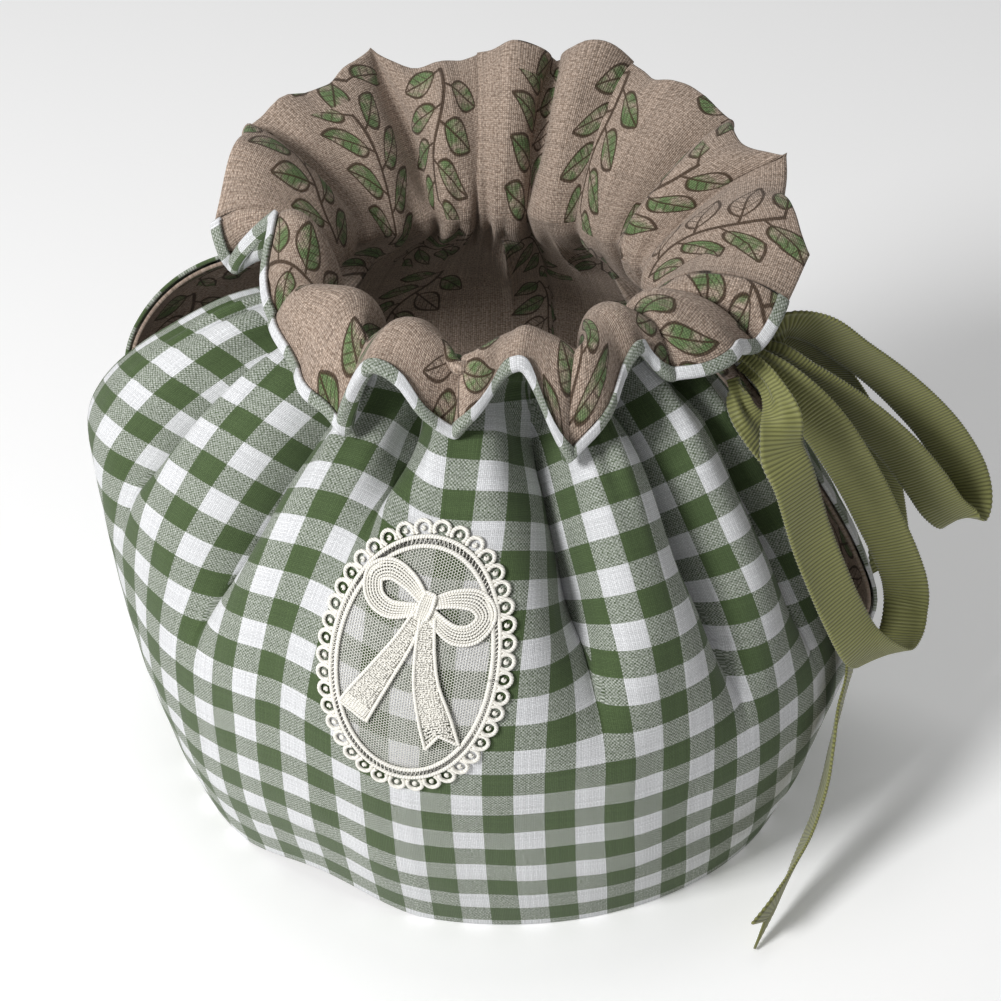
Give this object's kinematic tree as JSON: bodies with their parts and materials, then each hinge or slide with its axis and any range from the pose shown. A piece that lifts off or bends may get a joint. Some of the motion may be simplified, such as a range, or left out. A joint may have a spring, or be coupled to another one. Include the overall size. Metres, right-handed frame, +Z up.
{
  "type": "tea cosy",
  "caption": "Drawstring tea cosy: a rounded gingham body gathered to a neck under a flared linen frill, slits for spout and handle, an oval lace medallion and a ribbon bow.",
  "frame": {"origin": "on the surface it stands on, under the middle of the whole object's box, ribbon and all", "axes": "+Z up through the neck, -Y towards the face with the medallion, +X towards the handle's slit and the ribbon, -X towards the spout's slit"},
  "size_m": [0.194, 0.1502, 0.1483],
  "materials": {
    "gingham": "matte",
    "linen": "matte",
    "lace": "matte",
    "ribbon": "satin"
  },
  "bodies": {
    "root": {"gingham_front": "gingham", "gingham_back": "gingham", "lining_front": "linen", "lining_back": "linen", "lace_medallion": "lace", "lace_loop_left": "lace", "lace_loop_right": "lace", "lace_tail_left": "lace", "lace_tail_right": "lace", "lace_knot": "lace", "ribbon_knot": "ribbon", "ribbon_loop_front": "ribbon", "ribbon_loop_back": "ribbon", "ribbon_tail_long": "ribbon", "ribbon_tail_short": "ribbon"}
  },
  "joints": []
}
